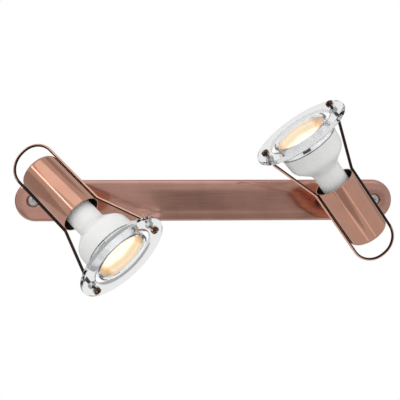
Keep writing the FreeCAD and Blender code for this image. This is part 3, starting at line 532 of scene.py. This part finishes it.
def rounded(before, corner, after, radius, steps=8):
    """Points of the arc that rounds one corner of a profile."""
    corner, before, after = Vector(corner), Vector(before), Vector(after)
    way_in, way_out = (before - corner).normalized(), (after - corner).normalized()
    half = way_in.angle(way_out) / 2
    bisector = (way_in + way_out).normalized()
    centre = corner + bisector * (radius / math.sin(half))
    start, end = corner + way_in * radius / math.tan(half), corner + way_out * radius / math.tan(half)
    sweep = (start - centre).angle(end - centre)
    turn = 1 if (start - centre).cross(end - centre) > 0 else -1
    turns = [Matrix.Rotation(turn * sweep * k / steps, 2) for k in range(steps + 1)]
    return [tuple(centre + step @ (start - centre)) for step in turns]


seam = body_high.z
neck_foot = (NECK_RADIUS, body_low.z)
flare = (NECK_RADIUS, body_low.z + NECK_LENGTH)
shoulder = (SHOULDER_RADIUS, flare[1] + FLARE_LENGTH)
lip = (body_high.y, seam)
foot = arc(NECK_RADIUS - NECK_EDGE, body_low.z + NECK_EDGE, NECK_EDGE, -90, 0, 5)
bell = rounded(neck_foot, flare, shoulder, NECK_BEND) + rounded(flare, shoulder, lip, SHOULDER_BEND)
snap = [(lip[0] - LIP_DRAFT, seam - LIP_EDGE), (lip[0] - LIP_EDGE, seam), (lip[0] - LIP_WIDTH, seam)]
profile = [(NECK_RADIUS - NECK_EDGE, body_low.z)] + foot + bell + snap + [(CONE_RADIUS, seam - CONE_DEPTH)]
housing = turned("housing", profile, sides=160)
smooth(housing)
housing.data.materials.append(moulded("lamp_white", (0.83, 0.83, 0.82), 0.33, coat=0.1))
housing.data.materials.append(moulded("seam_shadow", (0.06, 0.055, 0.05), 0.5))
for face in housing.data.polygons:
    outer = face.center.xy.length > lip[0] - SEAM_WIDTH
    face.material_index = 1 if outer and face.center.z > seam - SEAM_HEIGHT else 0
fit_heads(housing, "lamp_housing", "lamp_body")

# ------------------------------------------------------------------ lamp fronts
# A clear band and a clear front disc close the lamp, held by four dark clips. Behind them sits a metallised
# dish whose inside carries a painted glow: emission, brightest in the middle and fading through orange to
# dark at two sides, stands in for the burner's light on it. Its white back shows through the band and
# carries a faint painted glow as well.


def clear(name, tone, roughness, bending=1.14, sheen=0.6):
    """Clear glass or plastic, faintly uneven, that bends light little and carries a clear sheen."""
    finish = Finish(name)
    spot = finish.node("TexCoord", {}, {}, output="Object")
    wave = finish.node("TexNoise", {}, {"Vector": spot, "Scale": 50, "Detail": 1})
    bump = finish.node("Bump", {}, {"Height": wave, "Strength": 0.01, "Distance": 0.0001})
    shader = finish.node("BsdfPrincipled", {}, {
        "Base Color": tone, "Transmission Weight": 1.0, "IOR": bending, "Roughness": roughness,
        "Normal": bump, "Coat Weight": sheen, "Coat Roughness": 0.03})
    return finish.surface(shader)


DISH_FLOOR = 0.0702
DISH_RADIUS = 0.0200
DISH_MOUTH = 0.0212
DISH_CORNER = 0.003
DISH_WALL = 0.0005
DISH_EYE = 0.0006
LENS_GAP = 0.0001
lens_back = FIRST.reach("lamp_lens")[0].z
mouth = (DISH_MOUTH, lens_back - LENS_GAP)
inside = rounded((0, DISH_FLOOR), (DISH_RADIUS, DISH_FLOOR), mouth, DISH_CORNER, steps=6)
outside = [(DISH_MOUTH + DISH_WALL, mouth[1]), (DISH_RADIUS, DISH_FLOOR - DISH_WALL)]
profile = [(DISH_EYE, DISH_FLOOR)] + inside + [mouth] + outside + [(DISH_EYE, DISH_FLOOR - DISH_WALL)]
dish = turned("dish", profile, sides=128)
smooth(dish)
# Painted glow: the dish's emission, set by depth and by side, stands in for the burner's light reflected
# from it.
lit = Finish("dish_painted_glow")
spot = lit.node("Attribute", {"attribute_name": "drawn_place"}, {}, output="Vector")
across = lit.node("SeparateXYZ", {}, {"Vector": spot}, output="Y")
height = lit.node("SeparateXYZ", {}, {"Vector": spot}, output="Z")
swirl = lit.node("TexNoise", {}, {"Vector": spot, "Scale": 140, "Detail": 3})
by_depth = lit.node("ValToRGB", {"stops": [
    (0.08, (0.40, 0.36, 0.29)), (0.18, (0.62, 0.48, 0.26)), (0.27, (0.42, 0.36, 0.28)),
    (0.42, (0.46, 0.38, 0.26)), (0.50, (0.90, 0.72, 0.40)), (0.57, (1.0, 0.95, 0.75))]},
    {"Fac": (mouth[1] - height) * 60 + swirl * 0.16 - 0.08})
outward = lit.node("Math", {"operation": "ABSOLUTE"}, {0: across})
by_side = lit.node("ValToRGB", {"stops": [
    (0.66, (1.0, 1.0, 1.0)), (0.76, (0.90, 0.45, 0.10)), (0.84, (0.30, 0.14, 0.03)),
    (0.92, (0.10, 0.05, 0.01))]}, {"Fac": outward * 44 + swirl * 0.3 - 0.15})
tone = lit.node("VectorMath", {"operation": "MULTIPLY"}, {0: by_depth, 1: by_side})
dish.data.materials.append(lit.surface(lit.node("BsdfPrincipled", {}, {
    "Base Color": (0.50, 0.39, 0.28, 1), "Metallic": 0.25, "Roughness": 0.35, "Emission Color": tone,
    "Emission Strength": 1.25})))
# Painted glow on the dish's back, in uneven light and grey patches, as if the lamp's light shone through it.
back = Finish("dish_back_painted_glow")
spot = back.node("Attribute", {"attribute_name": "drawn_place"}, {}, output="Vector")
patches = back.node("TexNoise", {}, {"Vector": spot, "Scale": 110, "Detail": 2})
tone = back.node("ValToRGB", {"stops": [(0.35, (0.66, 0.67, 0.69)), (0.60, (0.88, 0.88, 0.89))]},
                 {"Fac": patches})
dish.data.materials.append(back.surface(back.node("BsdfPrincipled", {}, {
    "Base Color": tone, "Roughness": 0.3, "Emission Color": tone, "Emission Strength": 0.45})))
for face in dish.data.polygons:
    away = Vector((face.center.x, face.center.y, 0)).normalized()
    face.material_index = 1 if face.normal.dot(away) > 0.3 or face.normal.z < -0.5 else 0

CLIP_SIZE = (0.0004, 0.0068, 0.0026)
CLIP_EDGE = 0.00012
CLIP_RADIUS = 0.0219
CLIP_RISE = 0.0017
CLIP_TURNS = {"left_": 7, "right_": -22}
clip_shadow = moulded("clip_shadow", (0.03, 0.03, 0.035), 0.4)
clips = []
for turn in range(0, 360, 90):
    bpy.ops.mesh.primitive_cube_add(size=1, location=(-CLIP_RADIUS, 0, seam + CLIP_RISE))
    clip = bpy.context.object
    clip.scale = CLIP_SIZE
    settle(clip, Matrix.Rotation(math.radians(turn), 4, "Z"))
    modify(clip, "BEVEL", width=CLIP_EDGE, segments=2)
    clip.data.materials.append(clip_shadow)
    clips.append(clip)
bpy.ops.object.select_all(action="DESELECT")
for piece in [dish] + clips:
    piece.select_set(True)
bpy.context.view_layer.objects.active = dish
bpy.ops.object.join()
bpy.ops.object.select_all(action="DESELECT")
fit_heads(dish, "lamp_dish", "lamp_reflector", turned_by=CLIP_TURNS)

clear_band = clear("clear_band", (0.96, 0.97, 0.985, 1), 0.03)
clear_front = clear("clear_front", (0.98, 0.97, 0.95, 1), 0.03, bending=1.2)
burner = Finish("glow")
glow = burner.surface(burner.node("Emission", {}, {"Color": (1.0, 0.93, 0.70, 1), "Strength": 1.3}))
for head in HEADS:
    paint("lamp_clear", clear_band, head.side + "lamp_collar")
    paint("lamp_front", clear_front, head.side + "lamp_lens")
    paint("glow", glow, head.side + "lamp_tube")

# ------------------------------------------------------------------ wire loops
# One copper rod hugs each cup: a hairpin behind it, straight along both sides and splayed at the rim. Its
# ends are threaded where they pass through the glass ring.

ROD_RADIUS = 0.00125
ROD_GAP = 0.00005
HAIRPIN_FLAT = 0.0008
RIM_BEND = 0.008
RING_BEND = 0.006
RING_BEND_HEIGHT = 0.0746
ROD_SIDES = 24
BEND_STEPS = 16
rod_low, rod_high = FIRST.reach("wire_loop")
rod_side = cup_radius + ROD_RADIUS + ROD_GAP
rod_end = rod_high.y - ROD_RADIUS
hairpin = rod_low.z + ROD_RADIUS
hairpin_bend = rod_side - HAIRPIN_FLAT


def bend_angle(before, corner, after):
    return math.pi - (Vector(before) - Vector(corner)).angle(Vector(after) - Vector(corner))


half_route = [(rod_end, rod_high.z), (rod_end, RING_BEND_HEIGHT), (rod_side, cup_mouth),
              (rod_side, hairpin)]
bends = [None, RING_BEND, RIM_BEND, hairpin_bend]
route = half_route + [(-across, height) for across, height in reversed(half_route)]
radii = bends + bends[::-1]
bpy.ops.mesh.primitive_circle_add(vertices=ROD_SIDES, radius=ROD_RADIUS, fill_type="NGON",
                                  location=(0, rod_end, rod_high.z))
rod = settle(bpy.context.object)
rod.name = "rod"
bpy.ops.object.mode_set(mode="EDIT")
bpy.ops.mesh.select_mode(type="FACE")
bpy.ops.mesh.select_all(action="SELECT")
here = Vector(route[0])
for k in range(1, len(route)):
    corner = Vector(route[k])
    if radii[k]:
        after = Vector(route[k + 1])
        turn = bend_angle(here, corner, after)
        tangent = radii[k] * math.tan(turn / 2)
        stop = corner + (here - corner).normalized() * tangent
    else:
        stop = corner
    step = stop - here
    if step.length > 1e-6:
        bpy.ops.mesh.extrude_region_move(TRANSFORM_OT_translate={"value": (0, step.x, step.y)})
    here = stop
    if radii[k]:
        way, out = (corner - stop).normalized(), (after - corner).normalized()
        side_way = (out - way * out.dot(way)).normalized()
        centre = stop + side_way * radii[k]
        clockwise = -1 if way.x * side_way.y - way.y * side_way.x > 0 else 1
        bpy.ops.mesh.spin(steps=max(8, int(turn * BEND_STEPS)), angle=turn * clockwise,
                          center=(0, centre.x, centre.y), axis=(1, 0, 0))
        here = corner + out * tangent
finish_edit(rod, merge=True)
smooth(rod, 40)

hairpin_middle = hairpin + hairpin_bend
# Painted shade on the rod: the sides that face the cup, and the whole straight arm on the -Y side, are
# marked to take a near-black colour, while the sides facing out keep the bright copper.
worn = rod.data.attributes.new("worn", "FLOAT", "POINT")
for k, vertex in enumerate(rod.data.vertices):
    round_bend = vertex.co.z < hairpin_middle
    outward = Vector((0, vertex.co.y, vertex.co.z - hairpin_middle if round_bend else 0)).normalized()
    facing = vertex.normal.dot(outward)
    worn.data[k].value = facing if round_bend or vertex.co.y > 0 else min(facing, 0) - 0.4

# PAINTED_SHADE is that near-black painted shade; BRIGHT is the rod's own copper on its outer sides.
PAINTED_SHADE = (0.045, 0.026, 0.021)
BRIGHT = (1.0, 0.58, 0.43)
THREAD_SCALE = 628
THREAD_START = RING_BEND_HEIGHT + 0.0015
rod_finish = Finish("rod_copper")
spot = rod_finish.node("Attribute", {"attribute_name": "drawn_place"}, {}, output="Vector")
face_side = rod_finish.node("Attribute", {"attribute_name": "worn"}, {}, output="Fac")
cloud = rod_finish.node("TexNoise", {}, {"Vector": spot, "Scale": 260, "Detail": 3})
tone = rod_finish.node("ValToRGB", {"stops": [(0.46, PAINTED_SHADE), (0.60, BRIGHT)]},
                       {"Fac": face_side * 0.5 + cloud * 0.1 + 0.45})
height = rod_finish.node("SeparateXYZ", {}, {"Vector": spot}, output="Z")
cut = rod_finish.node("Math", {"operation": "GREATER_THAN"}, {0: height, 1: THREAD_START})
thread = rod_finish.node("TexWave", {"bands_direction": "Z"}, {"Vector": spot, "Scale": THREAD_SCALE})
ridges = rod_finish.node("Bump", {}, {"Height": thread * cut, "Strength": 0.9, "Distance": 0.00015})
rod.data.materials.append(rod_finish.surface(rod_finish.node("BsdfPrincipled", {}, {
    "Base Color": tone, "Metallic": 1.0, "Roughness": cloud * 0.08 + 0.08, "Normal": ridges})))
fit_heads(rod, "rod_loop", "wire_loop")

# ------------------------------------------------------------------ glass rings
# A flat ring of clear glass with ground edges, bolted to the rod's two ends through drilled holes.

ring_low, ring_high = FIRST.reach("glass_ring")
RING_INNER = 0.0279
RING_EDGE = 0.0014
RING_HOLE = 0.0016
CUT_SPARE = 0.001
ring_outer, ring_back, ring_front = ring_high.x, ring_low.z, ring_high.z
corners = [(RING_INNER, ring_back), (ring_outer, ring_back), (ring_outer, ring_front),
           (RING_INNER, ring_front)]
profile = []
for k in range(4):
    profile += rounded(corners[k - 1], corners[k], corners[(k + 1) % 4], RING_EDGE, steps=5)
glass = turned("ring", profile + profile[:1], sides=192)
for sign in (-1, 1):
    way = [(RING_HOLE, ring_back - CUT_SPARE), (RING_HOLE, ring_front + CUT_SPARE)]
    hole = turned("ring_hole", way, sides=32)
    carve(glass, settle(hole, Matrix.Translation((0, sign * rod_end, 0))))
smooth(glass)
glass.data.materials.append(clear("ring_glass", (0.84, 0.845, 0.84, 1), 0.0, bending=1.10, sheen=0.2))
fit_heads(glass, "ring_glass", "glass_ring")

# ------------------------------------------------------------------ nuts and washers on the rings
# Chamfered hexagon nuts, 5.5 mm across their flats, clamp each ring from both sides: dark antique copper in
# front and bright zinc behind, with a clear washer under each front nut.

NUT_FLATS = 0.0055
NUT_BORE = 0.0013
NUT_EDGE = 0.00035
WASHER_RADIUS = 0.0031
WASHER_EDGE = 0.00015


def pair(piece):
    """Copy a piece drawn about Z onto both ends of the rod, as one object."""
    copies = []
    for sign in (-1, 1):
        copy = piece.copy()
        copy.data = piece.data.copy()
        bpy.context.scene.collection.objects.link(copy)
        copies.append(settle(copy, Matrix.Translation((0, sign * rod_end, 0))))
    bpy.data.objects.remove(piece)
    bpy.ops.object.select_all(action="DESELECT")
    for copy in copies:
        copy.select_set(True)
    bpy.context.view_layer.objects.active = copies[0]
    bpy.ops.object.join()
    bpy.ops.object.select_all(action="DESELECT")
    return copies[0]


def hex_nut(low, high):
    """A chamfered hexagon nut with corners along Y, drilled through."""
    bpy.ops.mesh.primitive_cylinder_add(vertices=6, radius=NUT_FLATS / math.sqrt(3), depth=high - low,
                                        location=(0, 0, (low + high) / 2))
    nut = settle(bpy.context.object)
    nut.name = "nut"
    modify(nut, "BEVEL", width=NUT_EDGE / 2, segments=2)
    corner = NUT_FLATS / math.sqrt(3)
    rise = NUT_EDGE * 1.6
    cone = turned("chamfer", [(NUT_FLATS / 2 - NUT_EDGE, low), (corner, low + rise),
                              (corner, high - rise), (NUT_FLATS / 2 - NUT_EDGE, high)], sides=48)
    carve(nut, cone, "INTERSECT")
    carve(nut, turned("bore", [(NUT_BORE, low - CUT_SPARE), (NUT_BORE, high + CUT_SPARE)], sides=32))
    smooth(nut, 30)
    return nut


nut_finish = Finish("nut_copper")
spot = nut_finish.node("Attribute", {"attribute_name": "drawn_place"}, {}, output="Vector")
# Painted glints: orange patches in the front nuts' dark copper stand in for the warm light caught by their
# facets.
painted_glints = nut_finish.node("TexNoise", {}, {"Vector": spot, "Scale": 520, "Detail": 2})
tone = nut_finish.node("ValToRGB", {"stops": [(0.56, (0.030, 0.013, 0.008)), (0.62, (0.12, 0.05, 0.02)),
                                              (0.70, (0.95, 0.46, 0.12))]}, {"Fac": painted_glints})
nut_copper = nut_finish.surface(nut_finish.node("BsdfPrincipled", {}, {
    "Base Color": tone, "Metallic": 1.0, "Roughness": painted_glints * 0.10 + 0.12, "Coat Weight": 0.3}))
for part, material in (("front_nuts", nut_copper), ("rear_nuts", bright_zinc)):
    low, high = FIRST.reach(part)
    nuts = pair(hex_nut(low.z, high.z))
    nuts.data.materials.append(material)
    fit_heads(nuts, part.replace("nuts", "nut_pair"), part)

low, high = FIRST.reach("ring_washers")
flat = WASHER_RADIUS - WASHER_EDGE
lower_edge = arc(flat, low.z + WASHER_EDGE, WASHER_EDGE, -90, 0, 3)
upper_edge = arc(flat, high.z - WASHER_EDGE, WASHER_EDGE, 0, 90, 3)
profile = [(NUT_BORE, low.z)] + lower_edge + upper_edge + [(NUT_BORE, high.z)]
washers = turned("washer", profile + profile[:1], sides=48)
smooth(washers)
washers = pair(washers)
washers.data.materials.append(clear_band)
fit_heads(washers, "washer_pair", "ring_washers")

# ------------------------------------------------------------------ studio
# A pale floor well below the light, white all round, soft lamps above and along each cup, and grey boards
# that only mirror reflections see, so that the copper shows light and dark bands. The camera stands where
# the photograph was taken.

FLOOR_SIZE = 2.4
FLOOR_PLACE = (0, -0.4, -0.6)
bpy.ops.mesh.primitive_plane_add(size=FLOOR_SIZE, location=FLOOR_PLACE)
floor = bpy.context.object
floor.name = "studio_floor"
floor.data.materials.append(moulded("floor_paper", (0.56, 0.56, 0.56), 0.8, grain=40))

DIFFUSE_LEVEL = 0.95
MIRROR_LEVEL = 0.56
world = bpy.data.worlds.new("studio")
bpy.context.scene.world = world
world.use_nodes = True
sky = Finish("studio", world.node_tree)
seen, mirror, through = [sky.node("LightPath", {}, {}, output="Is " + ray + " Ray")
                         for ray in ("Camera", "Glossy", "Transmission")]
white = sky.node("Math", {"operation": "ADD", "use_clamp": True}, {0: seen, 1: through})
mirror = sky.node("Math", {"operation": "SUBTRACT", "use_clamp": True}, {0: mirror, 1: white})
level = white * (1 - DIFFUSE_LEVEL) + mirror * (MIRROR_LEVEL - DIFFUSE_LEVEL) + DIFFUSE_LEVEL
backdrop = sky.node("Background", {}, {"Color": (1, 1, 1, 1), "Strength": level})
sky.node("OutputWorld", {}, {"Surface": backdrop})

MIDDLE = Vector((0, -0.05, 0))
LEFT_CUP, RIGHT_CUP = (head.place.translation for head in HEADS)
UP = Vector((0, 0, 1))


def aim(turn, rise, distance, target=MIDDLE, along=UP):
    """A place at an angle round from a target's front and up, facing back at it, its Y nearest one way."""
    turn, rise = math.radians(turn), math.radians(rise)
    way = Vector((math.sin(turn) * math.cos(rise), -math.cos(turn) * math.cos(rise), math.sin(rise)))
    up = (along - way * along.dot(way)).normalized()
    rows = Matrix((up.cross(way), up, way)).transposed()
    return Matrix.Translation(target + way * distance) @ rows.to_4x4()


def softbox(name, place, width, height, light):
    lamp = bpy.data.lights.new(name, "AREA")
    lamp.shape, lamp.size, lamp.size_y = "RECTANGLE", width, height
    lamp.energy = light * math.pi * width * height
    piece = bpy.data.objects.new(name, lamp)
    bpy.context.scene.collection.objects.link(piece)
    piece.matrix_world = place


def board(name, place, width, height, shade):
    """A flat grey board that lights nothing and is seen in mirror reflections alone."""
    bpy.ops.mesh.primitive_plane_add(size=1)
    piece = bpy.context.object
    piece.name = name
    piece.data.transform(place @ Matrix.Diagonal((width, height, 1, 1)))
    for kind in ("camera", "diffuse", "transmission", "volume_scatter", "shadow"):
        setattr(piece, "visible_" + kind, False)
    finish = Finish(name)
    piece.data.materials.append(finish.surface(
        finish.node("Emission", {}, {"Color": (shade, shade * 0.97, shade * 0.95, 1), "Strength": 1.0})))


left_way, right_way = (head.place.to_3x3() @ UP for head in HEADS)
softbox("key_softbox", aim(-22, 53, 1.2), 1.0, 0.95, 0.45)
softbox("front_softbox", aim(0, 23, 1.2), 1.3, 0.34, 0.32)
softbox("left_strip", aim(-49, 29, 1.1, LEFT_CUP, left_way), 0.10, 1.1, 2.2)
softbox("right_strip", aim(35, -23, 1.0, RIGHT_CUP, right_way), 0.07, 1.0, 0.5)
softbox("lower_strip", aim(-7, -53, 0.62, RIGHT_CUP, right_way), 0.05, 0.6, 0.5)
board("left_board", aim(-105, -5, 0.9, LEFT_CUP), 1.8, 0.60, 0.36)
board("back_board", aim(127, 14, 0.9, RIGHT_CUP), 0.45, 0.30, 0.36)
board("top_board", aim(133, 66, 0.9, LEFT_CUP), 0.36, 0.34, 0.36)
board("low_board", aim(0, 0, 0.57, Vector((-0.11, -0.05, -0.33))), 0.78, 0.46, 0.36)
board("centre_board", aim(0, 0, 1.2, Vector((0.03, -0.05, -0.03))), 0.18, 0.18, 0.27)
board("right_board", aim(0, 0, 1.2, Vector((0.41, -0.05, -0.045))), 0.58, 0.21, 0.38)
board("left_panel", aim(0, 0, 0.56, Vector((-0.27, -0.05, -0.10))), 0.14, 0.30, 0.70)

CAMERA_PLACE = Vector((-0.04088, -0.700, 0.01667))
CAMERA_YAW, CAMERA_PITCH, CAMERA_ROLL = -0.052456, -0.024079, 0.0020816
SENSOR_WIDTH = 36
FOCAL_LENGTH = 66.3
camera = bpy.data.cameras.new("camera")
camera.sensor_width = SENSOR_WIDTH
camera.lens = FOCAL_LENGTH
camera_piece = bpy.data.objects.new("camera", camera)
bpy.context.scene.collection.objects.link(camera_piece)
camera_piece.matrix_world = (
    Matrix.Translation(CAMERA_PLACE) @ Matrix.Rotation(CAMERA_YAW, 4, "Z")
    @ Matrix.Rotation(CAMERA_PITCH, 4, "X") @ Matrix.Rotation(CAMERA_ROLL, 4, "Y")
    @ Matrix.Rotation(math.radians(90), 4, "X"))
bpy.context.scene.camera = camera_piece
bpy.context.scene.view_settings.view_transform = "Standard"
